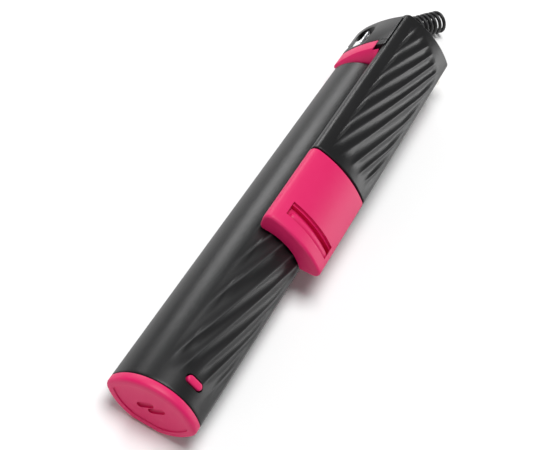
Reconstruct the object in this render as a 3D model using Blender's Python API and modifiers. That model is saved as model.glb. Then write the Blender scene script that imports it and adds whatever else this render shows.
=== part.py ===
"""Folded wired selfie stick: lens-shaped handle with telescopic rods, fluted phone clamp and curly cord.

Every outline is drawn in the stick frame, in millimetres: X to the clamp side, Y from the end cap's face to
the head's end, Z up from the axis of the rods. The stick lies on the flat land along its underside.
"""

import math

import bmesh
import bpy
from mathutils import Matrix, Vector

MM = 0.001

# Handle section: two wide arcs closed by small tip arcs
LENS_R, LENS_DROP = 14.26, 5.16        # radius of a wide arc, its centre below the rod axis
TIP_R, TIP_X = 3.05, 9.95              # radius and centre of a tip arc
TIP_DEG = 27.4                         # where the two arcs meet, above the horizontal
FLOOR_Z = -8.6                         # flat land under the handle
WALL = 1.3

# Clamp section: one wide outer arc, a rounded ridge at its left end and a rounded nose at its right end
ARC_C, ARC_R = (-5.24, -14.39), 30.55
RIDGE_C, RIDGE_R, WALL_X = (-0.2, 13.1), 2.6, -2.8
NOSE_C, NOSE_R = (17.71, 2.59), 2.0
LIFT = 0.4                             # clearance between clamp and handle

# Stations along the stick
CAP_Y, HANDLE_Y0, HANDLE_Y1 = 2.6, 2.8, 146.3
JAW_Y0, JAW_Y1, SHELL_Y0, HEAD_Y1 = 62.2, 93.8, 94.1, 171.0
LIP_Y0, LIP_Y1, BLOCK_Y0 = 147.0, 154.3, 154.6
PIVOT_Y = 158.0

# Telescopic rods: outer radius, inner radius, tail and front of the tube and of each section
RODS = [(4.7, 4.35, 16.0, 146.0), (4.05, 3.7, 23.0, 146.15), (3.4, 3.05, 29.0, 146.3),
        (2.75, 2.4, 35.0, 146.45), (2.1, 1.75, 41.0, 150.0)]
ROD_LIP, ROD_STEPS = 1.5, 32

# Shutter button on the right flank near the end cap
BUTTON_C, BUTTON_TILT = Vector((6.7, 8.6, 7.43)), math.radians(28)

# Curly cord behind the head
WIRE_R, COIL_R = 0.65, 4.2
COIL_P1, COIL_P2 = Vector((7.0, 202.6, -4.38)), Vector((-3.9, 184.5, -4.38))

SCREWS = [(-7.3, 28.0), (7.3, 28.0), (-7.3, 132.0), (7.3, 132.0)]
GUIDES = [(4.0, 11.6), (12.1, 7.1)]

for leftover in list(bpy.data.objects):
    bpy.data.objects.remove(leftover, do_unlink=True)


def collection(name):
    made = bpy.data.collections.new(name)
    bpy.context.scene.collection.children.link(made)
    return made


PARTS = collection("selfie_stick")
CUTTERS = collection("cutters")


def material(name, colour, roughness, metallic=0.0):
    made = bpy.data.materials.new(name)
    made.use_nodes = True
    shader = made.node_tree.nodes["Principled BSDF"]
    shader.inputs["Base Color"].default_value = (*colour, 1.0)
    shader.inputs["Roughness"].default_value = roughness
    shader.inputs["Metallic"].default_value = metallic
    made.diffuse_color = (*colour, 1.0)
    return made


BLACK = material("black_plastic", (0.03, 0.03, 0.032), 0.45)
PINK = material("pink_plastic", (0.84, 0.06, 0.18), 0.4)
STEEL = material("bright_steel", (0.62, 0.63, 0.65), 0.25, 1.0)
DARK_STEEL = material("dark_steel", (0.2, 0.2, 0.21), 0.35, 1.0)
INNER = material("inner_plastic", (0.10, 0.10, 0.11), 0.6)
BOARD = material("circuit_board", (0.02, 0.16, 0.07), 0.5)
BRASS = material("gold_contact", (0.8, 0.6, 0.25), 0.3, 1.0)
CORD = material("cord_jacket", (0.015, 0.015, 0.016), 0.4)

# Frames: the stick's own, and one for each moving piece on its joint axis, by name with the point it stands at
FRAMES = {}


def add_frame(name, at, parent=None):
    made = bpy.data.objects.new(name, None)
    made.empty_display_size = 0.01
    PARTS.objects.link(made)
    if parent:
        made.parent = FRAMES[parent][0]
        made.location = (Vector(at) - FRAMES[parent][1]) * MM
    else:
        made.location = Vector((-3.055, -85.5, -FLOOR_Z)) * MM
    FRAMES[name] = (made, Vector(at))


add_frame("stick_frame", (0, 0, 0))
add_frame("button_axis", BUTTON_C, "stick_frame")
for number in range(1, 5):
    add_frame(f"rod_{number}_axis", (0, RODS[number][2], 0), f"rod_{number - 1}_axis" if number > 1 else "stick_frame")
add_frame("clamp_pivot", (0, PIVOT_Y, 0), "rod_4_axis")
add_frame("jaw_axis", (8.0, JAW_Y0, 8.0), "clamp_pivot")


# Outlines

def arc(centre, radius, start, end, count):
    """Points from one angle to another, in degrees, anticlockwise from the outline's first axis."""
    turn = [math.radians(start + (end - start) * i / count) for i in range(count + 1)]
    return [(centre[0] + radius * math.cos(a), centre[1] + radius * math.sin(a)) for a in turn]


def arc_between(centre, radius, u0, u1, count):
    """Points on the upper side of a circle between two positions across."""
    a0 = math.degrees(math.acos((u0 - centre[0]) / radius))
    a1 = math.degrees(math.acos((u1 - centre[0]) / radius))
    return arc(centre, radius, a0, a1, count)


def on_circle(centre, radius, u):
    return centre[1] + math.sqrt(radius ** 2 - (u - centre[0]) ** 2)


LENS_C = (0.0, -LENS_DROP)


def lens_half(offset, gap, count=24):
    """Upper half of the handle section at an offset, from the right tip over the crest to the left tip."""
    low = math.degrees(math.asin(gap / (TIP_R + offset)))
    right = arc((TIP_X, 0), TIP_R + offset, low, TIP_DEG, 4)
    top = arc(LENS_C, LENS_R + offset, TIP_DEG, 180 - TIP_DEG, count)
    left = arc((-TIP_X, 0), TIP_R + offset, 180 - TIP_DEG, 180 - low, 4)
    return right + top[1:-1] + left


def flipped(points, floor=None):
    turned_over = [(x, -z) for x, z in reversed(points)]
    return [(x, max(z, floor)) for x, z in turned_over] if floor is not None else turned_over


def tidy(points):
    """Drops points that stand on the one before."""
    kept = []
    for p in points:
        if not kept or math.dist(p, kept[-1]) > 0.02:
            kept.append(p)
    if math.dist(kept[0], kept[-1]) < 0.02:
        kept.pop()
    return kept


def lens_full(offset, floor=FLOOR_Z, count=24):
    over = lens_half(offset, 0.001, count)
    half_width = math.sqrt((LENS_R + offset) ** 2 - (LENS_DROP - floor) ** 2)
    under = [p for p in flipped(lens_half(offset, 0.001, count)) if p[1] > floor + 0.02]
    left = [p for p in under if p[0] < 0]
    right = [p for p in under if p[0] > 0]
    left.sort(key=lambda p: (-p[1], p[0]))
    right.sort(key=lambda p: (p[1], p[0]))
    return tidy(over + left + [(-half_width, floor), (half_width, floor)] + right)


def stadium(length, width, centre=(0.0, 0.0), count=6):
    """Slot outline with its length along the first axis."""
    reach = (length - width) / 2
    right = arc((centre[0] + reach, centre[1]), width / 2, -90, 90, count)
    left = arc((centre[0] - reach, centre[1]), width / 2, 90, 270, count)
    return right + left


def box(u0, u1, v0, v1):
    return [(u0, v0), (u1, v0), (u1, v1), (u0, v1)]


def clamp_section():
    """Outer profile of panel and sliding jaw, closed by the arc that follows the handle."""
    inner_r = LENS_R + LIFT
    ridge_end = math.degrees(math.atan2(RIDGE_C[1] - ARC_C[1], RIDGE_C[0] - ARC_C[0]))
    nose_end = math.degrees(math.atan2(NOSE_C[1] - ARC_C[1], NOSE_C[0] - ARC_C[0]))
    points = [(WALL_X, on_circle(LENS_C, inner_r, WALL_X))]
    points += arc(RIDGE_C, RIDGE_R, 180, ridge_end, 6)
    points += arc(ARC_C, ARC_R, ridge_end, nose_end, 16)[1:]
    points += arc(NOSE_C, NOSE_R, nose_end, -90, 7)[1:]
    points += arc_between(LENS_C, inner_r, 13.42, WALL_X, 16)[:-1]
    return tidy(points)


def band(outer_inset, inner_r, x0, x1, count=12):
    """Strip under the clamp's outer arc, its lower side on a circle about the handle section's centre."""
    over = arc_between(ARC_C, ARC_R - outer_inset, x0, x1, count)
    return tidy(over + arc_between(LENS_C, inner_r, x1, x0, count))


def arc3(p, q, r, count):
    """Arc through three points."""
    ax, ay, bx, by, cx, cy = *p, *q, *r
    d = 2 * (ax * (by - cy) + bx * (cy - ay) + cx * (ay - by))
    ux = ((ax ** 2 + ay ** 2) * (by - cy) + (bx ** 2 + by ** 2) * (cy - ay) + (cx ** 2 + cy ** 2) * (ay - by)) / d
    uy = ((ax ** 2 + ay ** 2) * (cx - bx) + (bx ** 2 + by ** 2) * (ax - cx) + (cx ** 2 + cy ** 2) * (bx - ax)) / d
    radius = math.dist((ux, uy), p)
    return (ux, uy), radius


ROOF_C, ROOF_R = arc3((-13.4, 0.8), (-8.7, 8.4), (-2.2, 14.9), 8)
WING_TIP, WING_R = (-12.95, 0.25), 0.65


def roof(inset, x0, x1, count=8):
    """Left slope of the head from one position across to another, at an inset."""
    def at(x):
        return math.degrees(math.acos((x - ROOF_C[0]) / (ROOF_R - inset)))
    return arc(ROOF_C, ROOF_R - inset, at(x0), at(x1), count)


# Solids

PLANES = {
    "X": Matrix(((0, 0, 1), (1, 0, 0), (0, 1, 0))).to_4x4(),
    "Y": Matrix(((1, 0, 0), (0, 0, -1), (0, 1, 0))).to_4x4(),
    "Z": Matrix.Identity(4),
}


def keep(name, mesh, look, body, cutter):
    """Links a mesh drawn in the stick frame, held by the frame of its body."""
    obj = bpy.data.objects.new(name, mesh)
    holder, at = FRAMES[body]
    obj.parent = holder
    obj.location = -at * MM
    (CUTTERS if cutter else PARTS).objects.link(obj)
    if cutter:
        obj.hide_render = True
        obj.display_type = "WIRE"
    else:
        mesh.materials.append(look)
    return obj


def baked(name, data, place, look, body, cutter, smooth=False):
    """Turns a curve into a closed mesh in the stick frame."""
    source = bpy.data.objects.new(name + "_curve", data)
    PARTS.objects.link(source)
    graph = bpy.context.evaluated_depsgraph_get()
    mesh = bpy.data.meshes.new_from_object(source.evaluated_get(graph))
    bpy.data.objects.remove(source, do_unlink=True)
    mesh.name = name
    mesh.transform(place)
    work = bmesh.new()
    work.from_mesh(mesh)
    bmesh.ops.remove_doubles(work, verts=work.verts, dist=2e-6)
    bmesh.ops.recalc_face_normals(work, faces=work.faces)
    work.to_mesh(mesh)
    work.free()
    mesh.polygons.foreach_set("use_smooth", [smooth] * len(mesh.polygons))
    mesh.materials.clear()
    return keep(name, mesh, look, body, cutter)


def prism(name, outlines, lo, hi, along="Y", look=BLACK, body="stick_frame", cutter=False, place=None):
    """Flat outline, the later ones holes, given depth from lo to hi along an axis or along a frame's third axis."""
    if isinstance(outlines[0][0], (int, float)):
        outlines = [outlines]
    data = bpy.data.curves.new(name, "CURVE")
    data.dimensions, data.fill_mode = "2D", "BOTH"
    data.extrude = (hi - lo) / 2 * MM
    for outline in outlines:
        spline = data.splines.new("POLY")
        spline.points.add(len(outline) - 1)
        for point, (u, v) in zip(spline.points, outline):
            point.co = (u * MM, v * MM, 0, 1)
        spline.use_cyclic_u = True
    place = (place or PLANES[along]).copy()
    middle = (lo + hi) / 2
    if along == "Y" and place == PLANES["Y"]:
        middle = -middle
    place = place @ Matrix.Translation((0, 0, middle * MM))
    return baked(name, data, place, look, body, cutter)


def tube(name, points, radius, look=CORD, body="stick_frame", cutter=False, resolution=2):
    """Round bar along a path of points, with closed ends."""
    data = bpy.data.curves.new(name, "CURVE")
    data.dimensions = "3D"
    data.bevel_depth, data.bevel_resolution, data.use_fill_caps = radius * MM, resolution, True
    data.use_path = False
    spline = data.splines.new("POLY")
    spline.points.add(len(points) - 1)
    for point, p in zip(spline.points, points):
        point.co = (*(Vector(p) * MM), 1)
    return baked(name, data, Matrix.Identity(4), look, body, cutter, smooth=True)


def turned(name, profile, at=(0, 0, 0), direction=(0, 1, 0), look=STEEL, body="stick_frame", cutter=False,
           steps=ROD_STEPS, closed=False):
    """Turned piece: profile of (radius, station) from the far end down its outer side, about a direction."""
    mesh = bpy.data.meshes.new(name)
    verts = [(r * MM, 0, s * MM) for r, s in profile]
    edges = [(i, i + 1) for i in range(len(verts) - 1)] + ([(len(verts) - 1, 0)] if closed else [])
    mesh.from_pydata(verts, edges, [])
    turn = Vector((0, 0, 1)).rotation_difference(Vector(direction).normalized()).to_matrix().to_4x4()
    if Vector(direction) == Vector((0, 1, 0)):
        turn = Matrix.Rotation(math.radians(-90), 4, "X")
    obj = keep(name, mesh, look, body, cutter)
    screw = obj.modifiers.new("turn", "SCREW")
    screw.axis, screw.angle = "Z", math.tau
    screw.steps = screw.render_steps = steps
    screw.use_merge_vertices, screw.merge_threshold = True, 0.000005
    screw.use_smooth_shade = True
    obj.location = Vector(obj.location) + Vector(at) * MM
    obj.rotation_euler = turn.to_euler()
    return obj


def rod(name, at, direction, radius, length, **more):
    """Plain cylinder starting at a point."""
    steps = more.pop("steps", 20)
    return turned(name, [(0, length), (radius, length), (radius, 0), (0, 0)], at, direction, steps=steps, **more)


def ring(name, at, outer, inner, length, **more):
    """Plain sleeve starting at a point, along the stick unless a direction is given."""
    direction = more.pop("direction", (0, 1, 0))
    profile = [(outer, length), (outer, 0), (inner, 0), (inner, length)]
    return turned(name, profile, at, direction, closed=True, **more)


def boolean(target, operation, pieces):
    for piece in pieces:
        change = target.modifiers.new(piece.name, "BOOLEAN")
        change.operation, change.solver, change.object = operation, "EXACT", piece
    return target


def cut(target, *pieces):
    return boolean(target, "DIFFERENCE", pieces)


def fuse(target, *pieces):
    return boolean(target, "UNION", pieces)


# Handle

def flute_cutters(prefix, body, section, slope, starts, s_range, y_range, depth, radius, step):
    """Round bars laid along slanted lines just over a surface, so each leaves a shallow groove."""
    made = []
    for number, start in enumerate(starts):
        path = []
        count = int((s_range[1] - s_range[0]) / step) + 1
        for i in range(count + 1):
            s = s_range[0] + (s_range[1] - s_range[0]) * i / count
            y = start + slope * s
            if y_range[0] <= y <= y_range[1]:
                (x, z), (nx, nz) = section(s)
                path.append((x + nx * (radius - depth), y, z + nz * (radius - depth)))
        if len(path) > 1:
            made.append(tube(f"{prefix}_{number}", path, radius, body=body, cutter=True, resolution=3))
    return made


def lens_point(s):
    """Point and normal on the handle's upper arc at a distance from the crest."""
    a = s / LENS_R
    n = (math.sin(a), math.cos(a))
    return (n[0] * LENS_R, n[1] * LENS_R - LENS_DROP), n


def clamp_point(s):
    """Point and normal on the clamp's outer arc at a distance from the ridge."""
    a = math.radians(11.4) + s / ARC_R
    n = (math.sin(a), math.cos(a))
    return (ARC_C[0] + n[0] * ARC_R, ARC_C[1] + n[1] * ARC_R), n


def button_place():
    """Frame of the button: across the flank, along the stick, and out of the surface."""
    across = Vector((math.cos(BUTTON_TILT), 0, -math.sin(BUTTON_TILT)))
    out = Vector((math.sin(BUTTON_TILT), 0, math.cos(BUTTON_TILT)))
    turn = Matrix((across, Vector((0, 1, 0)), out)).transposed().to_4x4()
    return Matrix.Translation(BUTTON_C * MM) @ turn


def handle_shells():
    """Two shells meeting along the tips, with screw posts; the upper one is fluted and holds the button."""
    upper = tidy(lens_half(0, 0.15) + list(reversed(lens_half(-WALL, 0.15))))
    front = prism("handle_front_shell", upper, HANDLE_Y0, HANDLE_Y1)
    lower_out = flipped(lens_half(0, 0.15))
    flat = math.sqrt(LENS_R ** 2 - (LENS_DROP - FLOOR_Z) ** 2)
    left = [p for p in lower_out if p[0] < 0 and p[1] > FLOOR_Z + 0.02]
    right = [p for p in lower_out if p[0] > 0 and p[1] > FLOOR_Z + 0.02]
    lower = tidy(left + [(-flat, FLOOR_Z), (flat, FLOOR_Z)] + right
                 + list(reversed(flipped(lens_half(-WALL, 0.15)))))
    back = prism("handle_back_shell", lower, HANDLE_Y0, HANDLE_Y1)
    core = prism("post_limit", lens_full(-0.5, FLOOR_Z + 0.6), 20, 140, cutter=True)
    for number, (x, y) in enumerate(SCREWS, 1):
        above = rod(f"upper_post_{number}", (x, y, 0.15), (0, 0, 1), 2.3, 8.0, cutter=True, steps=16)
        below = rod(f"lower_post_{number}", (x, y, -8.15), (0, 0, 1), 2.3, 8.0, cutter=True, steps=16)
        fuse(front, boolean(above, "INTERSECT", [core]))
        fuse(back, boolean(below, "INTERSECT", [core]))
    for number, (x, y) in enumerate(SCREWS, 1):
        cut(front, rod(f"upper_hole_{number}", (x, y, -1), (0, 0, 1), 1.0, 4.9, cutter=True, steps=14))
        cut(back, turned(f"lower_hole_{number}", [(0, 10), (1.1, 10), (1.1, 4.8), (1.7, 4.8), (1.7, 0), (0, 0)],
                         (x, y, -9), (0, 0, 1), cutter=True, steps=14))
        turned(f"case_screw_{number}", [(0, 9.0), (0.85, 9.0), (0.85, 1.1), (1.5, 1.1), (1.5, 0), (0, 0)],
               (x, y, -5.4), (0, 0, 1), look=DARK_STEEL, steps=14)
    cut(front, *flute_cutters("handle_flute", "stick_frame", lens_point, 4.3,
                              [0.5 + 15.9 * k for k in range(-5, 10)], (-1.6, 14.6), (12.0, 141.0),
                              0.4, 3.0, 1.2))
    cut(front, prism("button_opening", stadium(5.9, 3.1), -3.0, 3.0, "Z", cutter=True, place=button_place()))


def end_cap():
    """Pink cap that closes the handle: rounded rim, shallow panel with two slanted grooves, inner skirt."""
    cap = prism("end_cap", lens_full(0), 0, CAP_Y, look=PINK)
    edge = cap.modifiers.new("rim", "BEVEL")
    edge.width, edge.segments, edge.limit_method, edge.angle_limit = 0.55 * MM, 2, "ANGLE", math.radians(60)
    skirt = prism("cap_skirt", [lens_full(-WALL - 0.3, FLOOR_Z + 1.7), lens_full(-2.8, FLOOR_Z + 3.0)],
                  CAP_Y - 0.5, 5.4, cutter=True)
    fuse(cap, skirt)
    cut(cap, prism("cap_panel", lens_full(-2.4, FLOOR_Z + 2.4), -1, 0.4, cutter=True))
    lean = math.radians(38)
    grooves = []
    for side in (-1, 1):
        grooves.append([(side * 1.5 + u * math.cos(lean) - v * math.sin(lean), u * math.sin(lean)
                         + v * math.cos(lean)) for u, v in stadium(4.6, 1.3)])
    cut(cap, prism("cap_grooves", grooves, -1, 0.95, cutter=True))


def handle_inside():
    """Plug at the mouth, anchor of the outer tube, and the shutter board with its switch."""
    plug = prism("mouth_plug", lens_full(-WALL - 0.3, FLOOR_Z + 1.7), 140.0, 146.2, look=INNER)
    cut(plug, rod("plug_bore", (0, 139, 0), (0, 1, 0), 5.0, 9, cutter=True, steps=ROD_STEPS))
    anchor = prism("tube_anchor", lens_full(-WALL - 0.3, FLOOR_Z + 1.7), 14.3, 22.5, look=INNER)
    cut(anchor, rod("anchor_bore", (0, 15.7, 0), (0, 1, 0), 4.9, 9, cutter=True, steps=ROD_STEPS))
    place = button_place()
    prism("shutter_board", box(-4.4, 4.4, -2.6, 5.0), -6.1, -5.3, "Z", look=BOARD, place=place)
    prism("tact_switch", box(-2.2, 2.2, -2.2, 2.2), -5.2, -4.0, "Z", look=DARK_STEEL, place=place)
    prism("switch_dome", arc((0, 0), 1.3, 0, 345, 23), -3.9, -3.4, "Z", look=BRASS, place=place)
    button = prism("shutter_button", stadium(5.3, 2.5), -2.3, 0.35, "Z", look=PINK, body="button_axis", place=place)
    fuse(button, prism("button_flange", stadium(7.3, 4.5), -2.8, -2.1, "Z", body="button_axis", cutter=True,
                       place=place))


def rods():
    """Outer tube and four sections, each with an inner lip in front and a guide bush behind."""
    for number, (outer, inner, tail, front) in enumerate(RODS):
        name = "outer_tube" if number == 0 else f"rod_section_{number}"
        body = "stick_frame" if number == 0 else f"rod_{number}_axis"
        length = front - tail
        if number < 4:
            lip = RODS[number + 1][0] + 0.12
            profile = [(lip, length), (outer, length), (outer, 0), (inner, 0), (inner, length - ROD_LIP),
                       (lip, length - ROD_LIP)]
        else:
            profile = [(outer, length), (outer, 0), (inner, 0), (inner, length)]
        turned(name, profile, (0, tail, 0), body=body, closed=True)
        if number:
            ring(f"rod_bush_{number}", (0, tail - 5.1, 0), RODS[number - 1][1] - 0.1, inner - 0.3, 5.0,
                 look=INNER, body=body)


def hinge():
    """Eye on the last section, with the pin and washers that carry the clamp."""
    eye = turned("rod_eye", [(0, 17.0), (2.1, 17.0), (2.1, 10.2), (1.6, 10.2), (1.6, 0), (0, 0)], (0, 140, 0),
                 body="rod_4_axis", look=STEEL)
    fuse(eye, rod("eye_boss", (-2, PIVOT_Y, 0), (1, 0, 0), 3.0, 4, body="rod_4_axis", cutter=True, steps=24))
    cut(eye, rod("eye_bore", (-3, PIVOT_Y, 0), (1, 0, 0), 1.6, 6, body="rod_4_axis", cutter=True, steps=24))
    turned("hinge_pin", [(0, 14.3), (1.5, 14.3), (1.5, 1.2), (2.6, 1.2), (2.6, 0), (0, 0)], (-6.8, PIVOT_Y, 0),
           (1, 0, 0), body="clamp_pivot", steps=24)
    for number, x in enumerate((-2.55, 2.15), 1):
        ring(f"hinge_washer_{number}", (x, PIVOT_Y, 0), 2.6, 1.6, 0.4, direction=(1, 0, 0), body="clamp_pivot",
             look=BRASS, steps=24)


# Clamp

def head_block():
    """Black head: wing on the left with the strap hole, lens-shaped body under the panel, slot for the eye."""
    outline = arc(WING_TIP, WING_R, -90, -210, 4)
    outline += roof(0, -13.38, -3.1)
    outline += arc_between(LENS_C, LENS_R, -3.1, 12.6, 14)
    outline += arc((TIP_X, 0), TIP_R, TIP_DEG, -TIP_DEG, 6)
    lower = [(x, -z) for x, z in arc_between(LENS_C, LENS_R, 12.4, 3.9, 8)]
    outline += lower + [(3.74, FLOOR_Z), (-3.74, FLOOR_Z), (-5.5, -on_circle(LENS_C, LENS_R, -5.5))]
    outline += list(reversed(roof(2.0, -12.1, -5.5)))
    block = prism("head_block", tidy(outline), BLOCK_Y0, HEAD_Y1, body="clamp_pivot")
    corner = [(-14.4, HEAD_Y1 + 0.6), (-14.4, HEAD_Y1 - 3.8), (-13.7, HEAD_Y1 - 3.8)]
    corner += arc((-9.9, HEAD_Y1 - 3.8), 3.8, 180, 90, 8)[1:] + [(-9.9, HEAD_Y1 + 0.6)]
    cut(block,
        prism("head_corner", corner, -3, 12, "Z", cutter=True, body="clamp_pivot"),
        prism("eye_slot", box(-2.7, 2.7, -9.5, 3.3), BLOCK_Y0 - 1, 163.5, cutter=True, body="clamp_pivot"),
        rod("pivot_hole", (-14, PIVOT_Y, 0), (1, 0, 0), 1.55, 22, cutter=True, body="clamp_pivot", steps=24),
        prism("strap_hole", [(x, y) for y, x in stadium(11.0, 3.4, (161.5, -11.0))], -3, 12, "Z", cutter=True,
              body="clamp_pivot"),
        rod("gland_hole", (9, 166.6, 1), (0, 1, 0), 1.9, 6, cutter=True, body="clamp_pivot"))
    angle = math.radians(math.degrees(math.acos((-11.6 - ROOF_C[0]) / ROOF_R)))
    pin = (ROOF_C[0] + (ROOF_R - 1.0) * math.cos(angle), ROOF_C[1] + (ROOF_R - 1.0) * math.sin(angle))
    cut(block, rod("strap_pin_hole", (pin[0], BLOCK_Y0 - 1, pin[1]), (0, 1, 0), 0.65, 14.8, cutter=True,
                   body="clamp_pivot", steps=14))
    rod("strap_pin", (pin[0], BLOCK_Y0 + 0.3, pin[1]), (0, 1, 0), 0.6, 13.2, body="clamp_pivot", steps=14)
    return block


def fixed_jaw():
    """Pink lip in front of the head: the clamp's fixed jaw, notched over the rod, its face leaning back."""
    outline = arc(WING_TIP, WING_R, -90, -210, 4)
    outline += roof(0, -13.38, -4.3)
    outline += arc_between(LENS_C, LENS_R, -4.3, 12.6, 14)
    outline += arc((TIP_X, 0), TIP_R, TIP_DEG, -15.2, 5)
    outline += [(-11.8, -0.8)]
    jaw = prism("fixed_jaw", tidy(outline), LIP_Y0, LIP_Y1, look=PINK, body="clamp_pivot")
    along = Vector((9.3, 0, 8.4)).normalized()
    out = Vector((-along.z, 0, along.x))
    lean = Matrix((Vector((0, 1, 0)), out, along)).transposed().to_4x4()
    lean = Matrix.Translation(Vector((-13.6, 0, 0)) * MM) @ lean
    cut(jaw,
        prism("rod_notch", box(-2.9, 2.9, -3, 3.0), LIP_Y0 - 1, LIP_Y1 + 1, cutter=True, body="clamp_pivot"),
        prism("lip_lean", [(LIP_Y0, 0.05), (LIP_Y0 + 4.14, 6.0), (LIP_Y0 - 2, 6.0), (LIP_Y0 - 2, 0.05)],
              -2, 16, "Z", cutter=True, body="clamp_pivot", place=lean))
    return jaw


def clamp_shell():
    """Fluted panel: a cavity for the sliding carriage behind a cover, solid over the head."""
    shell = prism("clamp_shell", clamp_section(), SHELL_Y0, HEAD_Y1, body="clamp_pivot")
    inner = arc_between(LENS_C, LENS_R + 1.7, 13.95, 12.5, 3) + arc_between(LENS_C, LENS_R - 0.26, 12.5, -1.2, 12)
    cavity = tidy([(-1.2, on_circle(LENS_C, 14.0, -1.2))] + arc_between(ARC_C, ARC_R - 1.4, -1.2, 14.5, 12)
                  + [(14.5, 2.6)] + inner)
    cut(shell, prism("shell_cavity", cavity, SHELL_Y0 - 1, 146.0, cutter=True, body="clamp_pivot"))
    corner = [(NOSE_C[0] + 3, HEAD_Y1 + 0.6), (17.6, HEAD_Y1 + 0.6)]
    corner += list(reversed(arc((18.4, HEAD_Y1 - 1.3), 1.3, 0, 90, 4))) + [(NOSE_C[0] + 3, HEAD_Y1 - 1.3)]
    cut(shell, prism("nose_corner", corner, -2, 12, "Z", cutter=True, body="clamp_pivot"))
    for number, (x, z) in enumerate(GUIDES, 1):
        cut(shell, rod(f"guide_seat_{number}", (x, 145, z), (0, 1, 0), 0.95, 3.5, cutter=True, body="clamp_pivot",
                       steps=14))
    cut(shell, *flute_cutters("clamp_flute", "clamp_pivot", clamp_point, 3.73,
                              [144.2 - 13.6 * k for k in range(9)], (3.2, 20.0), (99.0, 164.5), 0.4, 3.0, 1.4))
    cover = tidy(arc_between(LENS_C, LENS_R + 1.4, -0.9, 12.2, 12) + arc_between(LENS_C, LENS_R + LIFT, 12.2, -0.9, 12))
    prism("clamp_cover", cover, 97.3, 145.7, look=INNER, body="clamp_pivot")
    bulkhead = prism("clamp_bulkhead", band(1.7, LENS_R + LIFT, -0.9, 12.2), 94.4, 97.0, look=INNER,
                     body="clamp_pivot")
    window = tidy(arc_between(ARC_C, ARC_R, 5.9, 10.1, 4) + arc_between(ARC_C, ARC_R - 4.3, 10.1, 5.9, 4))
    cut(bulkhead, prism("arm_window", window, 93, 98, cutter=True, body="clamp_pivot"))
    for number, (x, z) in enumerate(GUIDES, 1):
        cut(bulkhead, rod(f"guide_hole_{number}", (x, 93, z), (0, 1, 0), 0.9, 5, cutter=True, body="clamp_pivot",
                          steps=14))
        rod(f"guide_rod_{number}", (x, 94.6, z), (0, 1, 0), 0.7, 53.6, body="clamp_pivot", steps=14)
        turns, per = 7, 10
        coil = [(x + 1.2 * math.cos(math.tau * i / per), 97.6 + 29.8 * i / (turns * per),
                 z + 1.2 * math.sin(math.tau * i / per)) for i in range(turns * per + 1)]
        tube(f"return_spring_{number}", coil, 0.2, look=STEEL, body="clamp_pivot", resolution=2)
    return shell


def head_screws(block, shell):
    """Two screws that hold the head and the panel together, from below."""
    for number, (x, y) in enumerate([(9.8, 161.2), (5.5, 167.3)], 1):
        under = -on_circle(LENS_C, LENS_R, x)
        step = 10 + under + 1.6
        cut(block, turned(f"head_hole_{number}", [(0, 24), (1.0, 24), (1.0, step), (1.9, step), (1.9, 0), (0, 0)],
                          (x, y, -10), (0, 0, 1), cutter=True, body="clamp_pivot", steps=14))
        cut(shell, rod(f"shell_hole_{number}", (x, y, 2), (0, 0, 1), 1.0, 7.4, cutter=True, body="clamp_pivot",
                       steps=14))
        length = 8.9 - under - 0.4
        turned(f"head_screw_{number}", [(0, length), (0.8, length), (0.8, 1.0), (1.6, 1.0), (1.6, 0), (0, 0)],
               (x, y, under + 0.4), (0, 0, 1), look=DARK_STEEL, body="clamp_pivot", steps=14)


def sliding_jaw():
    """Pink jaw flush with the panel, hollow, with a slot across it; a carriage ties it to the springs."""
    jaw = prism("sliding_jaw", clamp_section(), JAW_Y0, JAW_Y1, look=PINK, body="jaw_axis")
    inner = arc_between(LENS_C, LENS_R + 1.6, 14.0, -1.2, 14)
    cavity = tidy(arc_between(ARC_C, ARC_R - 1.4, -1.2, 16.0, 12) + [(16.0, 2.25)] + inner)
    slot = tidy(arc_between(ARC_C, ARC_R + 3, 2.7, 18.2, 8) + arc_between(ARC_C, ARC_R - 2.2, 18.2, 2.7, 8))
    cut(jaw, prism("jaw_cavity", cavity, JAW_Y0 + 2, JAW_Y1 + 1, cutter=True, body="jaw_axis"),
        prism("jaw_slot", slot, 66.6, 71.9, cutter=True, body="jaw_axis"),
        rod("jaw_screw_hole", (8, 84, 5), (0, 0, 1), 1.0, 5, cutter=True, body="jaw_axis", steps=14))
    bar = tidy(arc_between(ARC_C, ARC_R - 0.6, 3.0, 15.6, 8) + arc_between(ARC_C, ARC_R - 3.6, 15.2, 3.0, 8))
    prism("jaw_grip_bar", bar, 66.9, 69.6, look=PINK, body="jaw_axis")

    def strip(x0, x1):
        return tidy(arc_between(ARC_C, ARC_R - 1.8, x0, x1, 6) + arc_between(ARC_C, ARC_R - 4.0, x1, x0, 6))
    carriage = prism("jaw_carriage", strip(6.2, 9.8), 80.0, 129.0, look=INNER, body="jaw_axis")
    fuse(carriage, prism("crossbar", strip(2.2, 13.6), 128.0, 132.5, cutter=True, body="jaw_axis"))
    cut(carriage, rod("arm_screw_hole", (8, 84, 5), (0, 0, 1), 1.0, 10, cutter=True, body="jaw_axis", steps=14))
    for number, (x, z) in enumerate(GUIDES, 1):
        cut(carriage, rod(f"bar_hole_{number}", (x, 127, z), (0, 1, 0), 0.95, 7, cutter=True, body="jaw_axis",
                          steps=14))
    rod("carriage_screw", (8, 84, 7.5), (0, 0, 1), 0.8, 3.3, look=DARK_STEEL, body="jaw_axis", steps=14)


# Cord

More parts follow.
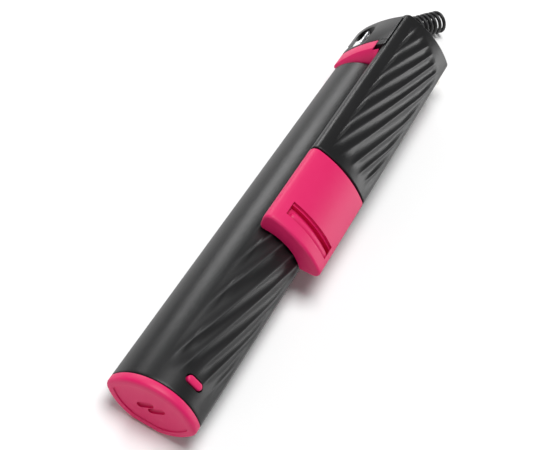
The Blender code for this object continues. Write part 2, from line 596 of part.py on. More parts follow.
def cord():
    """Strain relief, lead, coil drawn as its plain outer cylinder, tail and plug behind the head."""
    turned("cord_gland", [(0, 15.0), (1.1, 15.0), (1.6, 4.2), (1.6, 0), (0, 0)], (9, 167.0, 1), look=CORD,
           body="clamp_pivot", steps=20)
    along = (COIL_P1 - COIL_P2).normalized()
    side = Vector((along.y, -along.x, 0))

    def beside(start, places):
        """Points given by distance along the coil, distance across it and height."""
        return [tuple(start + along * a + side * c)[:2] + (z,) for a, c, z in places]
    lead = [(9, 182.3, 1.0), (9, 183.2, 1.0), (8.6, 184.7, 0.95), (7.5, 185.8, 0.85), (6.0, 186.2, 0.75),
            (4.4, 185.7, 0.6), (3.2, 184.4, 0.45), (2.2, 182.9, 0.3), (1.1, 181.8, -0.1)]
    lead += beside(COIL_P2, [(-0.9, 4.95, -0.85), (-1.05, 4.1, -2.0), (-1.0, 3.65, -3.2), (-0.95, 3.55, -4.38)])
    tube("cord_lead", lead, WIRE_R, body="clamp_pivot")
    tube("cord_coil", [COIL_P2, COIL_P1], COIL_R, body="clamp_pivot", resolution=5)
    tail = beside(COIL_P1, [(0.95, -2.51, -6.89), (1.15, -3.4, -6.2), (1.05, -4.6, -5.95), (0.3, -5.8, -6.15),
                            (-1.0, -6.55, -6.6), (-2.8, -6.75, -7.2), (-5.0, -6.4, -7.8), (-7.5, -5.9, -7.93),
                            (-10.5, -5.5, -7.93), (-14.0, -5.4, -7.93), (-17.5, -5.5, -7.93), (-20.0, -5.9, -7.93)])
    tail += [(-10.2, 184.6, -7.93), (-11.3, 182.0, -7.85), (-11.7, 179.7, -7.45), (-11.2, 177.9, -6.85),
             (-10.2, 176.7, -6.2), (-9.2, 176.15, -5.85), (-8.3, 176.0, -5.78)]
    tube("cord_tail", tail, WIRE_R, body="clamp_pivot")
    turned("plug_body", [(0, 12.0), (2.5, 12.0), (2.8, 11.4), (2.8, 3.0), (1.6, 0), (0, 0)], (-8, 176, -5.78),
           (1, 0, 0), look=CORD, body="clamp_pivot", steps=24)
    turned("plug_tip", [(0, 14.0), (0.9, 13.6), (1.7, 12.2), (1.3, 11.2), (1.75, 10.2), (1.75, 0), (0, 0)],
           (4.3, 176, -5.78), (1, 0, 0), look=BRASS, body="clamp_pivot", steps=24)


handle_shells()
end_cap()
handle_inside()
rods()
hinge()
HEAD = head_block()
fixed_jaw()
SHELL = clamp_shell()
head_screws(HEAD, SHELL)
sliding_jaw()
cord()
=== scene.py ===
import math

import bpy
import numpy as np
from mathutils import Matrix, Vector


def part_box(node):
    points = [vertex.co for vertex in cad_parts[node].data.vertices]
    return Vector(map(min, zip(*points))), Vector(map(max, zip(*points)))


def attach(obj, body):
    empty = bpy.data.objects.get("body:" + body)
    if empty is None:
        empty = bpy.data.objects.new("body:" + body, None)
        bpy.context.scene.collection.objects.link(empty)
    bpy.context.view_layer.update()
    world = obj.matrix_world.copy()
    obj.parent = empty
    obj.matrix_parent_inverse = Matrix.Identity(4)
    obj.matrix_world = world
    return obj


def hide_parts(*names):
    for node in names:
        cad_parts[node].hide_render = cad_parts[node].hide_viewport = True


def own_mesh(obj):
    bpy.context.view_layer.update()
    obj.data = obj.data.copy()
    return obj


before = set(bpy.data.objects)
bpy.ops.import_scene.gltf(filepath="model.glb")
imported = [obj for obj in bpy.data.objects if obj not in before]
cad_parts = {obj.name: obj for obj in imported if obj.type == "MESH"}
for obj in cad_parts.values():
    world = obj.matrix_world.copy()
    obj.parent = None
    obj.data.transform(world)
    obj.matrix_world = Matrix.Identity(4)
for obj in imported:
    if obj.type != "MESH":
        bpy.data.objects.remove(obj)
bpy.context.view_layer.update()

# Where the stick lies: X to the clamp side, Y from the end cap's face to the head, Z up from the rods' axis.
# Every section draws its piece in millimetres in that frame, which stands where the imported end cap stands.
CAP_LOW, CAP_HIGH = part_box("end_cap")
CREST = 9.1
AXIS = np.array(((CAP_LOW[0] + CAP_HIGH[0]) / 2, CAP_LOW[1], CAP_HIGH[2] - CREST * 0.001))


def spot(x, y, z):
    """A point of the stick, in metres in the row frame."""
    return Vector((AXIS[0] + x * 0.001, AXIS[1] + y * 0.001, AXIS[2] + z * 0.001))


# Camera: above the clamp side, looking down along the stick from the end cap towards the cord.
camera_data = bpy.data.cameras.new("view_along_stick")
camera_data.lens, camera_data.sensor_width = 72.0, 36.0
camera_data.clip_start, camera_data.clip_end = 0.01, 20.0
camera = bpy.data.objects.new("view_along_stick", camera_data)
bpy.context.scene.collection.objects.link(camera)
right, up, back = Vector((0.871, 0.429, 0.238)), Vector((-0.478, 0.631, 0.611)), Vector((0.112, -0.647, 0.755))
camera.matrix_world = (Matrix.Translation(spot(35.94, -135.0, 242.8))
                       @ Matrix((right, up, back)).transposed().to_4x4())
bpy.context.scene.camera = camera


# Cord: black rubber jacket of 1.3 mm over its wires, out of the head's end, wound to a spring that lies behind
# the head, then back to the plug. It is one curve; its lead is clamped in a tapered strain relief.
WIRE = 1.3
COIL_NEAR, COIL_FAR = np.array((-3.9, 184.5, -4.38)), np.array((7.3, 202.5, -4.38))
COIL_MEAN, COIL_TURNS = 3.55, 10.375


# Finishes: every surface is a small graph of its own, with the moulding's grain, handling marks and polish; the
# black flutes' crests also carry a painted highlight.
class Level:
    """A shader value that adds its own Math nodes when it is used in an expression."""

    def __init__(self, finish, socket):
        self.finish, self.socket = finish, socket

    def _math(self, operation, *values):
        return self.finish.node("ShaderNodeMath", {"operation": operation}, dict(enumerate(values)))

    def __add__(self, other):
        return self._math("ADD", self, other)

    def __radd__(self, other):
        return self._math("ADD", other, self)

    def __sub__(self, other):
        return self._math("SUBTRACT", self, other)

    def __mul__(self, other):
        return self._math("MULTIPLY", self, other)

    def above(self, edge, width):
        """0 below an edge, 1 past it by a width, with a straight rise between."""
        return self.finish.node("ShaderNodeMapRange", {"clamp": True},
                                {0: self, 1: edge, 2: edge + width, 3: 0.0, 4: 1.0})


class Finish:
    """A material and the graph behind its Principled shader."""

    def __init__(self, name, **fixed):
        self.material = bpy.data.materials.new(name)
        self.material.use_nodes = True
        self.tree = self.material.node_tree
        self.shader = self.tree.nodes["Principled BSDF"]
        for socket, value in fixed.items():
            self.shader.inputs[socket.replace("_", " ")].default_value = value
        self.place = self.node("ShaderNodeTexCoord", {}, {}, "Object")

    def node(self, kind, settings, values, out=0):
        made = self.tree.nodes.new(kind)
        for key, value in settings.items():
            setattr(made, key, value)
        for key, value in values.items():
            socket = made.inputs[key]
            if isinstance(value, Level):
                self.tree.links.new(value.socket, socket)
            else:
                socket.default_value = value
        return Level(self, made.outputs[out])

    def noise(self, scale, detail, roughness, stretch=(1, 1, 1)):
        at = self.node("ShaderNodeMapping", {}, {"Vector": self.place, "Scale": stretch})
        return self.node("ShaderNodeTexNoise", {}, {"Vector": at, "Scale": scale, "Detail": detail,
                                                    "Roughness": roughness}, "Fac")

    def blend(self, share, first, second):
        return self.node("ShaderNodeMix", {"data_type": "RGBA"}, {0: share, 6: first, 7: second}, 2)

    def relief(self, height, distance, strength, under=None):
        values = {"Height": height, "Distance": distance, "Strength": strength}
        if under is not None:
            values["Normal"] = under
        return self.node("ShaderNodeBump", {}, values, "Normal")

    def set(self, **inputs):
        for key, value in inputs.items():
            self.tree.links.new(value.socket, self.shader.inputs[key.replace("_", " ")])
        return self.material


def cord_rubber():
    """Matt black cord jacket with the fine drag lines of its extrusion."""
    finish = Finish("cord_jacket_rubber", Specular_IOR_Level=0.4)
    cloud = finish.noise(240.0, 4.0, 0.6)
    grain = finish.noise(9000.0, 2.0, 0.6)
    colour = finish.blend(cloud, (0.012, 0.012, 0.013, 1), (0.026, 0.026, 0.027, 1))
    return finish.set(Base_Color=colour, Roughness=0.34 + cloud * 0.14 + grain * 0.04,
                      Normal=finish.relief(grain, 0.00003, 0.4))


CORD = cord_rubber()


def smooth_line(points):
    """Points of an even curve through the given ones, six to each stretch."""
    between = 6
    points = [np.array(p, float) for p in points]
    ends = [2 * points[0] - points[1], *points, 2 * points[-1] - points[-2]]
    line = []
    for a, b, c, d in zip(ends, ends[1:], ends[2:], ends[3:]):
        for k in range(between):
            t = k / between
            line.append(0.5 * ((2 * b) + (c - a) * t + (2 * a - 5 * b + 4 * c - d) * t ** 2
                               + (3 * b - a - 3 * c + d) * t ** 3))
    return line + [points[-1]]


def cord_route():
    """Lead, coil and tail as one line of points."""
    along = COIL_FAR - COIL_NEAR
    length = np.linalg.norm(along)
    along /= length
    side, upward = np.array((along[1], -along[0], 0.0)), np.array((0.0, 0.0, 1.0))

    def beside(start, places):
        return [(*(start + along * a + side * c)[:2], z) for a, c, z in places]
    lead = [(9, 181.6, 1.0), (9, 183.2, 1.0), (8.6, 184.7, 0.95), (7.5, 185.8, 0.85), (6.0, 186.2, 0.75),
            (4.4, 185.7, 0.6), (3.2, 184.4, 0.45), (2.2, 182.9, 0.3), (1.1, 181.8, -0.1)]
    lead += beside(COIL_NEAR, [(-0.9, 4.95, -0.85), (-1.0, 4.1, -2.0), (-0.6, 3.65, -3.2), (0, COIL_MEAN, -4.38)])
    steps = round(30 * COIL_TURNS)
    helix = []
    for i in range(steps + 1):
        turn = -math.tau * COIL_TURNS * i / steps
        helix.append(COIL_NEAR + along * length * i / steps
                     + (side * math.cos(turn) + upward * math.sin(turn)) * COIL_MEAN)
    tail = [tuple(helix[-1])] + beside(COIL_FAR, [
        (0.5, -3.4, -6.2), (0.8, -4.6, -5.95), (0.3, -5.8, -6.15), (-1.0, -6.55, -6.6), (-2.8, -6.75, -7.2),
        (-5.0, -6.4, -7.8), (-7.5, -5.9, -7.93), (-10.5, -5.5, -7.93), (-14.0, -5.4, -7.93), (-17.5, -5.5, -7.93),
        (-20.0, -5.9, -7.93)])
    tail += [(-10.2, 184.6, -7.93), (-11.3, 182.0, -7.85), (-11.7, 179.7, -7.45), (-11.2, 177.9, -6.85),
             (-10.2, 176.7, -6.2), (-9.2, 176.15, -5.85), (-7.6, 176.0, -5.78)]
    return smooth_line(lead)[:-1] + helix[:-1] + smooth_line(tail)


route = cord_route()
cord_length = sum(float(np.linalg.norm(b - a)) for a, b in zip(route, route[1:])) * 0.001
cord_line = bpy.data.curves.new("curly_cord", "CURVE")
cord_line.dimensions = "3D"
cord_line.bevel_depth, cord_line.bevel_resolution, cord_line.use_fill_caps = WIRE / 2 * 0.001, 4, True
spline = cord_line.splines.new("POLY")
spline.points.add(len(route) - 1)
for point, at in zip(spline.points, route):
    point.co = (*spot(*at), 1)
spline.use_smooth = True
curly_cord = bpy.data.objects.new("curly_cord", cord_line)
bpy.context.scene.collection.objects.link(curly_cord)
curly_cord.data.materials.append(CORD)
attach(curly_cord, "clamp")
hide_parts("cord_lead", "cord_coil", "cord_tail")


# Strain relief and plug: the sleeve that holds the lead in the head, with ribs so that it can bend, and the
# jack plug at the cord's end.
def lone(name):
    """Names the object that was just added and leaves only it selected."""
    made = bpy.context.object
    made.name = made.data.name = name
    return made


def clear():
    """Leaves edit mode with nothing selected."""
    if bpy.context.object and bpy.context.object.mode == "EDIT":
        bpy.ops.object.mode_set(mode="OBJECT")
    bpy.ops.object.select_all(action="DESELECT")


def lay(obj, points):
    """Puts the vertices of a primitive on points given in the stick's millimetres."""
    points = np.asarray(points, float) * 0.001 + AXIS
    obj.data.vertices.foreach_set("co", points.ravel())
    obj.data.update()


def ready(obj, body, material, nodes=(), smooth=35.0):
    """Finishes a piece: shading, material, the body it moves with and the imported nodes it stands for."""
    clear()
    obj.select_set(True)
    bpy.context.view_layer.objects.active = obj
    bpy.ops.object.shade_smooth_by_angle(angle=math.radians(smooth))
    obj.data.materials.clear()
    obj.data.materials.append(material)
    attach(obj, body)
    if nodes:
        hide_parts(*nodes)
    return obj


def turned(name, profile, start, direction, steps=48):
    """Spins a profile of (radius, distance) about a line through a point of the stick."""
    clear()
    bpy.ops.mesh.primitive_circle_add(vertices=len(profile), fill_type="NOTHING")
    made = lone(name)
    aim = Vector(direction).normalized()
    side = aim.orthogonal().normalized()
    origin = Vector(start)
    lay(made, [origin + side * r + aim * d for r, d in profile])
    bpy.ops.object.mode_set(mode="EDIT")
    bpy.ops.mesh.select_all(action="SELECT")
    bpy.ops.mesh.spin(steps=steps, angle=math.tau, center=spot(*start), axis=aim)
    bpy.ops.mesh.select_all(action="SELECT")
    bpy.ops.mesh.remove_doubles(threshold=0.000003)
    bpy.ops.mesh.select_all(action="SELECT")
    bpy.ops.mesh.normals_make_consistent(inside=False)
    bpy.ops.object.mode_set(mode="OBJECT")
    return made


def ribbed_sleeve():
    """The sleeve's profile with six ribs that grow smaller outward."""
    profile = [(0.66, 0.2), (1.6, 0.2), (1.6, 4.4), (1.85, 4.5), (1.85, 5.2)]
    for rib in range(6):
        at, wide = 5.4 + rib * 1.45, 1.7 - rib * 0.09
        profile += [(wide - 0.28, at), (wide - 0.28, at + 0.35), (wide, at + 0.5), (wide, at + 1.15)]
    profile += [(1.05, 14.4), (0.9, 14.8), (0.66, 14.8)]
    return turned("strain_relief", profile, (9, 167.0, 1.0), (0, 1, 0))


ready(ribbed_sleeve(), "clamp", CORD, ["cord_gland"])
plug_grip = turned("plug_grip", [(0.66, -0.1), (1.2, -0.1), (1.6, 0.4), (2.3, 2.2), (2.75, 3.4), (2.8, 4.0),
                                 (2.8, 5.0), (2.55, 5.15), (2.55, 5.45), (2.8, 5.6), (2.8, 6.6), (2.55, 6.75),
                                 (2.55, 7.05), (2.8, 7.2), (2.8, 11.2), (2.5, 11.9), (0.66, 11.9)],
                   (-8.0, 176.0, -5.78), (1, 0, 0))
ready(plug_grip, "clamp", CORD, ["plug_body"])


def steel(name, light, rough, stretch):
    """Drawn or turned steel: fine lines along the stick, clouds of polish, a few darker rubs."""
    finish = Finish(name, Metallic=1.0)
    lines = finish.noise(900.0, 5.0, 0.7, stretch)
    cloud = finish.noise(90.0, 4.0, 0.55)
    rubs = cloud.above(0.58, 0.15)
    colour = finish.blend(lines, tuple(c * 0.86 for c in light) + (1,), tuple(light) + (1,))
    colour = finish.blend(rubs * 0.25, colour, tuple(c * 0.6 for c in light) + (1,))
    return finish.set(Base_Color=colour, Roughness=rough + lines * 0.12 + rubs * 0.08,
                      Normal=finish.relief(lines, 0.00002, 0.25))


GOLD = steel("gold_plated_contact", (0.86, 0.66, 0.30), 0.22, (1, 8, 8))
plug_pin = turned("plug_pin", [(0.02, 0.0), (1.75, 0.0), (1.75, 3.6), (1.6, 3.65), (1.6, 4.0), (1.75, 4.05),
                               (1.75, 6.6), (1.6, 6.65), (1.6, 7.0), (1.75, 7.05), (1.75, 9.6), (1.6, 9.65),
                               (1.6, 10.0), (1.7, 10.1), (1.25, 11.0), (1.25, 11.2), (1.7, 12.2),
                               (1.65, 12.6), (0.9, 13.6), (0.02, 14.0)],
                  (4.3, 176.0, -5.78), (1, 0, 0))
ready(plug_pin, "clamp", GOLD, ["plug_tip"])
spot(9, 181.8, 1.0)


# Handle: two black half shells of a lens-shaped section that meet along the tips. The upper one is fluted on its
# right flank, in long slanted hollows with sharp crests between, and has the opening for the shutter button.
LENS_R, LENS_DROP, TIP_R, TIP_X, TIP_DEG, FLOOR_Z = 14.26, 5.16, 3.05, 9.95, 27.4, -8.6
HANDLE_ENDS, SHELL_WALL, END_SOFT, PARTING = (2.8, 146.3), 1.3, 0.3, 0.12
FLUTE_DEPTH, CREST_ROUND, CREST_SHARE = 0.58, 0.02, 0.05


def arc_points(centre, radius, start, end, step):
    """Points and outward normals along an arc, angles in degrees, about one every step of its length."""
    count = max(1, int(round(abs(math.radians(end - start)) * radius / step)))
    turn = np.radians(np.linspace(start, end, count + 1))
    normal = np.stack((np.cos(turn), np.sin(turn)), 1)
    return np.array(centre) + normal * radius, normal


def lens_half(offset, gap, step):
    """Upper half of the handle section, from the right tip over the crest to the left."""
    low = math.degrees(math.asin(gap / (TIP_R + offset)))
    right_tip = arc_points((TIP_X, 0), TIP_R + offset, low, TIP_DEG, step)
    over = arc_points((0, -LENS_DROP), LENS_R + offset, TIP_DEG, 180 - TIP_DEG, step)
    left_tip = arc_points((-TIP_X, 0), TIP_R + offset, 180 - TIP_DEG, 180 - low, step)
    points = np.concatenate((right_tip[0], over[0][1:-1], left_tip[0]))
    return points, np.concatenate((right_tip[1], over[1][1:-1], left_tip[1]))


def ends_list(y0, y1, step, soft):
    """Stations along a piece, close together where its ends are rounded."""
    lead = soft * (1 - np.cos(np.linspace(0, math.pi / 2, 6)))
    middle = np.linspace(y0 + soft, y1 - soft, max(2, int((y1 - y0) / step)))
    return np.concatenate((y0 + lead[:-1], middle, (y1 - lead[:-1])[::-1]))


def rounded_ends(y, y0, y1, soft):
    """How far the surface stands in at a station, for ends rounded by a radius."""
    near = np.minimum(y - y0, y1 - y)
    return np.where(near < soft, soft - np.sqrt(np.maximum(soft ** 2 - (soft - near) ** 2, 0)), 0.0)


def corners(obj):
    """The vertices' own coordinates."""
    flat = np.empty(len(obj.data.vertices) * 3)
    obj.data.vertices.foreach_get("co", flat)
    return flat.reshape(-1, 3)


def places(obj):
    """The vertices' places in the stick's millimetres."""
    return (corners(obj) - AXIS) * 1000


def rolled(name, points, normals, stations, depth):
    """A grid primitive rolled round a closed outline, its surface let in by depth(index, y)."""
    around, along = len(points), len(stations)
    clear()
    bpy.ops.mesh.primitive_grid_add(x_subdivisions=around, y_subdivisions=along - 1, size=2)
    made = lone(name)
    flat = corners(made)
    i = np.rint((flat[:, 0] + 1) / 2 * around).astype(int) % around
    j = np.rint((flat[:, 1] + 1) / 2 * (along - 1)).astype(int)
    y = stations[j]
    inward = depth(i, y)
    at = points[i] - normals[i] * inward[:, None]
    lay(made, np.stack((at[:, 0], y, at[:, 1]), 1))
    bpy.ops.object.mode_set(mode="EDIT")
    bpy.ops.mesh.select_all(action="SELECT")
    bpy.ops.mesh.remove_doubles(threshold=0.000002)
    bpy.ops.mesh.select_all(action="SELECT")
    bpy.ops.mesh.fill_holes(sides=0)
    bpy.ops.mesh.select_all(action="SELECT")
    bpy.ops.mesh.normals_make_consistent(inside=False)
    bpy.ops.object.mode_set(mode="OBJECT")
    return made


def mark_crest_polish_and_highlight(obj, amount):
    """Stores how polished each vertex is, which also sets how much painted highlight its colour gets."""
    layer = obj.data.attributes.new("crest_polish_and_highlight", "FLOAT", "POINT")
    layer.data.foreach_set("value", np.asarray(amount, np.float32))


def rise(x, low, high):
    """0 below low, 1 over high, with a soft rise between."""
    t = np.clip((x - low) / (high - low), 0, 1)
    return t * t * (3 - 2 * t)


# Crests by where they cross the flank, and how far along the stick they have swept at each place across.
HANDLE_CRESTS = np.array((-49.0, -33.0, -17.0, -2.8, 11.3, 26.6, 42.0, 61.0, 78.5, 94.5, 110.5, 126.5, 142.5,
                          158.5, 174.5))
HANDLE_SWEEP = np.array(((-3.4, -44), (-2.9, -40), (-2.5, -36), (-1.9, -31.5), (-1.3, -29), (-0.7, -26.5),
                         (0, -24), (0.48, -21.7), (1.32, -19), (2.15, -16.3), (2.73, -14), (3.9, -9),
                         (5.07, -4), (6, 0), (6.9, 3.9), (8.07, 8.9), (9.3, 13.9), (10.5, 18.9),
                         (11.65, 23.9), (12.82, 28.9), (13.9, 33.9), (14.9, 38.5), (16.0, 44)))


def hollow(phase):
    """Depth of a hollow between two crests, from 0 at the crests to nearly 1 in the middle."""
    t = phase - np.floor(phase)
    return np.sqrt((4 * t * (1 - t)) ** 2 + CREST_ROUND) - math.sqrt(CREST_ROUND)


def near_crest(phase):
    """How close a place is to a crest, for the polish and the painted highlight there."""
    t = phase - np.floor(phase)
    return np.exp(-(np.minimum(t, 1 - t) / CREST_SHARE) ** 2)


def handle_flutes(s, y):
    """Depth of the handle's fluting and nearness to a crest, for a place across and along."""
    shift = y - np.interp(s, HANDLE_SWEEP[:, 0], HANDLE_SWEEP[:, 1])
    phase = np.interp(shift, HANDLE_CRESTS, np.arange(len(HANDLE_CRESTS)))
    full = rise(s, -3.3, 1.2) * (1 - rise(s, 13.6, 16.2)) * rise(y, 7.5, 17.0) * (1 - rise(y, 134.0, 143.0))
    return FLUTE_DEPTH * full * hollow(phase), full * near_crest(phase)


def handle_across(x, z):
    """Distance across the handle from its crest line, for a place on its outer side."""
    return LENS_R * np.arctan2(x, np.abs(z) + LENS_DROP)


def handle_shell(name, upper):
    """One half shell: outer surface, wall and parting faces in one closed piece."""
    step = 0.16 if upper else 0.45
    outer, outer_n = lens_half(0, PARTING, step)
    inner, inner_n = lens_half(-SHELL_WALL, PARTING, 1.2)
    count = len(outer)
    if not upper:
        outer, outer_n = outer * (1, -1), outer_n * (1, -1)
        inner, inner_n = inner * (1, -1), inner_n * (1, -1)
        outer[:, 1] = np.maximum(outer[:, 1], FLOOR_Z)
    points = np.concatenate((outer, inner[::-1]))
    normals = np.concatenate((outer_n, -inner_n[::-1]))
    s = handle_across(points[:, 0], points[:, 1])
    outside = np.arange(len(points)) < count
    stations = ends_list(*HANDLE_ENDS, 0.55 if upper else 1.4, END_SOFT)

    def depth(i, y):
        let_in = rounded_ends(y, *HANDLE_ENDS, END_SOFT) * np.where(outside[i], 1, 0)
        if not upper:
            return let_in
        return let_in + handle_flutes(s[i], y)[0] * outside[i]
    return rolled(name, points, normals, stations, depth)


BUTTON_AT, BUTTON_TILT, PILL_POINTS = Vector((6.7, 8.6, 7.43)), math.radians(28), 40


def button_point(u, v, w):
    """A place on the button's own axes: across the flank, along the stick and out of the surface."""
    return (BUTTON_AT.x + u * math.cos(BUTTON_TILT) + w * math.sin(BUTTON_TILT), BUTTON_AT.y + v,
            BUTTON_AT.z - u * math.sin(BUTTON_TILT) + w * math.cos(BUTTON_TILT))


def stacked(name, rings):
    """Joins rings of equally many points into one solid, from the first ring's face to the last one's."""
    count = len(rings[0])
    clear()
    bpy.ops.mesh.primitive_circle_add(vertices=count, fill_type="NGON")
    made = lone(name)
    bpy.ops.object.mode_set(mode="EDIT")
    bpy.ops.mesh.select_all(action="SELECT")
    for _ in rings[1:]:
        bpy.ops.mesh.extrude_region_move()
    bpy.ops.object.mode_set(mode="OBJECT")
    lay(made, np.concatenate([np.asarray(ring) for ring in rings]))
    bpy.ops.object.mode_set(mode="EDIT")
    bpy.ops.mesh.select_all(action="SELECT")
    bpy.ops.mesh.normals_make_consistent(inside=False)
    bpy.ops.object.mode_set(mode="OBJECT")
    return made


def pill(name, length, width, levels, place):
    """A pill-shaped solid through levels of (height, inset), laid by place(u, v, w)."""
    turn = [math.tau * (k + 0.5) / PILL_POINTS for k in range(PILL_POINTS)]

    def ring(height, inset):
        radius, reach = width / 2 - inset, (length - width) / 2
        return [place(math.copysign(reach, math.cos(a)) + radius * math.cos(a), radius * math.sin(a), height)
                for a in turn]
    return stacked(name, [ring(*level) for level in levels])


def satin_black():
    """Black moulded plastic: fine spark-eroded grain, faint flow marks, ridges polished by the hand and painted
    lighter along the crests as a highlight.
    """
    finish = Finish("satin_black_plastic", Specular_IOR_Level=0.40, IOR=1.45)
    cloud = finish.noise(55.0, 4.0, 0.55)
    grain = finish.noise(7000.0, 2.0, 0.6)
    marks = finish.noise(420.0, 5.0, 0.7, (1, 0.12, 1))
    crest_polish_and_highlight = finish.node("ShaderNodeAttribute", {"attribute_name": "crest_polish_and_highlight"}, {}, "Fac")
    dust = marks.above(0.62, 0.2)
    colour = finish.blend(cloud, (0.0075, 0.0075, 0.008, 1), (0.0125, 0.0125, 0.013, 1))
    # Painted highlight: near the crests the colour is blended towards a lighter grey; the dust marks lighten it a
    # little at random.
    colour = finish.blend(crest_polish_and_highlight * 0.55 + dust * 0.06, colour, (0.085, 0.085, 0.088, 1))
    rough = 0.29 + cloud * 0.09 + grain * 0.04 + dust * 0.05 - crest_polish_and_highlight * 0.04
    bump = finish.relief(grain, 0.00003, 0.35)
    return finish.set(Base_Color=colour, Roughness=rough, Normal=finish.relief(marks, 0.00002, 0.15, bump))


BLACK = satin_black()


def finish_modifiers(obj):
    """Applies every modifier of a piece."""
    clear()
    obj.select_set(True)
    bpy.context.view_layer.objects.active = obj
    for change in list(obj.modifiers):
        bpy.ops.object.modifier_apply(modifier=change.name)


def carve(obj, *cutters):
    """Cuts pieces out of a solid and throws the cutters away."""
    for cutter in cutters:
        change = obj.modifiers.new("carve", "BOOLEAN")
        change.operation, change.solver, change.object = "DIFFERENCE", "EXACT", cutter
    finish_modifiers(obj)
    for cutter in cutters:
        bpy.data.objects.remove(cutter, do_unlink=True)
    return obj


front_shell = handle_shell("handle_upper", True)
carve(front_shell, pill("opening", 5.8, 3.05, [(-3, 0), (0.2, 0), (0.6, -0.35), (3, -2)], button_point))
at = places(front_shell)
# Crest nearness: stored for the ridges' polish and their painted highlight.
mark_crest_polish_and_highlight(front_shell, handle_flutes(handle_across(at[:, 0], at[:, 2]), at[:, 1])[1])
ready(front_shell, "handle", BLACK, ["handle_front_shell"])
ready(handle_shell("handle_lower", False), "handle", BLACK, ["handle_back_shell"])


# Shutter button: a pink moulded pill with a softly crowned top. It is pushed in from inside the upper shell and
# stands in a black rim on the flank.
def satin_pink():
    """Hot pink moulded plastic: solid colour right through, slightly waxy sheen, fine grain."""
    finish = Finish("satin_pink_plastic", Specular_IOR_Level=0.45, IOR=1.47)
    cloud = finish.noise(70.0, 4.0, 0.55)
    grain = finish.noise(6500.0, 2.0, 0.6)
    marks = finish.noise(380.0, 5.0, 0.7, (1, 0.15, 1))
    dust = marks.above(0.60, 0.22)
    colour = finish.blend(cloud, (0.66, 0.006, 0.105, 1), (0.72, 0.012, 0.135, 1))
    colour = finish.blend(dust * 0.08, colour, (0.80, 0.10, 0.25, 1))
    rough = 0.42 + cloud * 0.10 + grain * 0.04 + dust * 0.05
    bump = finish.relief(grain, 0.00003, 0.3)
    return finish.set(Base_Color=colour, Roughness=rough, Normal=finish.relief(marks, 0.00002, 0.12, bump))


PINK = satin_pink()
button = pill("shutter_pill", 4.9, 2.15, [(-2.3, 0), (0.0, 0), (0.15, 0.05), (0.28, 0.18), (0.36, 0.45),
                                          (0.40, 0.85)], button_point)
ready(button, "button", PINK, ["shutter_button"], smooth=60)


# End cap: pink, pushed into the handle's tail. Rounded rim, a shallow panel let into its face and two short
# slanted grooves in the middle.
def lens_ring(offset, floor, count):
    """Evenly many points round the whole section at an offset, cut flat underneath."""
    half, _ = lens_half(offset, 0.0, 0.05)
    whole = np.concatenate((half, (half * (1, -1))[::-1][1:-1]))
    whole[:, 1] = np.maximum(whole[:, 1], floor)
    gaps = np.linalg.norm(np.diff(np.concatenate((whole, whole[:1])), axis=0), axis=1)
    run = np.concatenate(((0,), np.cumsum(gaps)))
    want = np.linspace(0, run[-1], count, endpoint=False)
    closed = np.concatenate((whole, whole[:1]))
    return np.stack((np.interp(want, run, closed[:, 0]), np.interp(want, run, closed[:, 1])), 1)


def end_cap():
    """Rings from the inner skirt out over the rim to the face, then the two grooves."""
    levels = [(5.3, -2.9), (5.3, -1.6), (2.65, -1.6), (2.6, -1.5), (2.6, -0.04), (2.5, 0.0), (1.0, 0.0),
              (0.7, -0.06), (0.42, -0.2), (0.2, -0.42), (0.06, -0.7), (0.0, -1.0), (0.0, -2.1), (0.04, -2.22),
              (0.36, -2.36), (0.4, -2.5)]
    rings = []
    for y, offset in levels:
        ring = lens_ring(offset, FLOOR_Z - offset, 180)
        rings.append(np.stack((ring[:, 0], np.full(len(ring), y), ring[:, 1]), 1))
    cap = stacked("tail_cap", rings)
    lean = math.radians(38)
    grooves = []
    for side in (-1, 1):
        def place(u, v, w, side=side):
            return (side * 1.65 + u * math.cos(lean) - v * math.sin(lean), -w,
                    u * math.sin(lean) + v * math.cos(lean))
        grooves.append(pill("groove", 5.3, 1.9, [(-1.3, 0.45), (-1.1, 0.12), (-0.9, 0), (1, 0)], place))
    return carve(cap, *grooves)


ready(end_cap(), "handle", PINK, ["end_cap"])

# Clamp section: the fluted panel and the sliding jaw share one outer profile, a wide arc between a rounded
# ridge on the left and a rounded nose on the right, and follow the handle underneath.
ARC_C, ARC_R = (-5.24, -14.39), 30.55
RIDGE_C, RIDGE_R, RIDGE_X, FOOT_R = (0.4, 12.99), 2.6, -2.2, 1.5
NOSE_C, NOSE_R, CLAMP_LIFT = (16.95, 3.58), 2.0, 0.12
CLAMP_LOW, CLAMP_ZERO = 3.0, math.radians(78.6)
RIDGE_END = math.degrees(math.atan2(RIDGE_C[1] - ARC_C[1], RIDGE_C[0] - ARC_C[0]))
NOSE_END = math.degrees(math.atan2(NOSE_C[1] - ARC_C[1], NOSE_C[0] - ARC_C[0]))


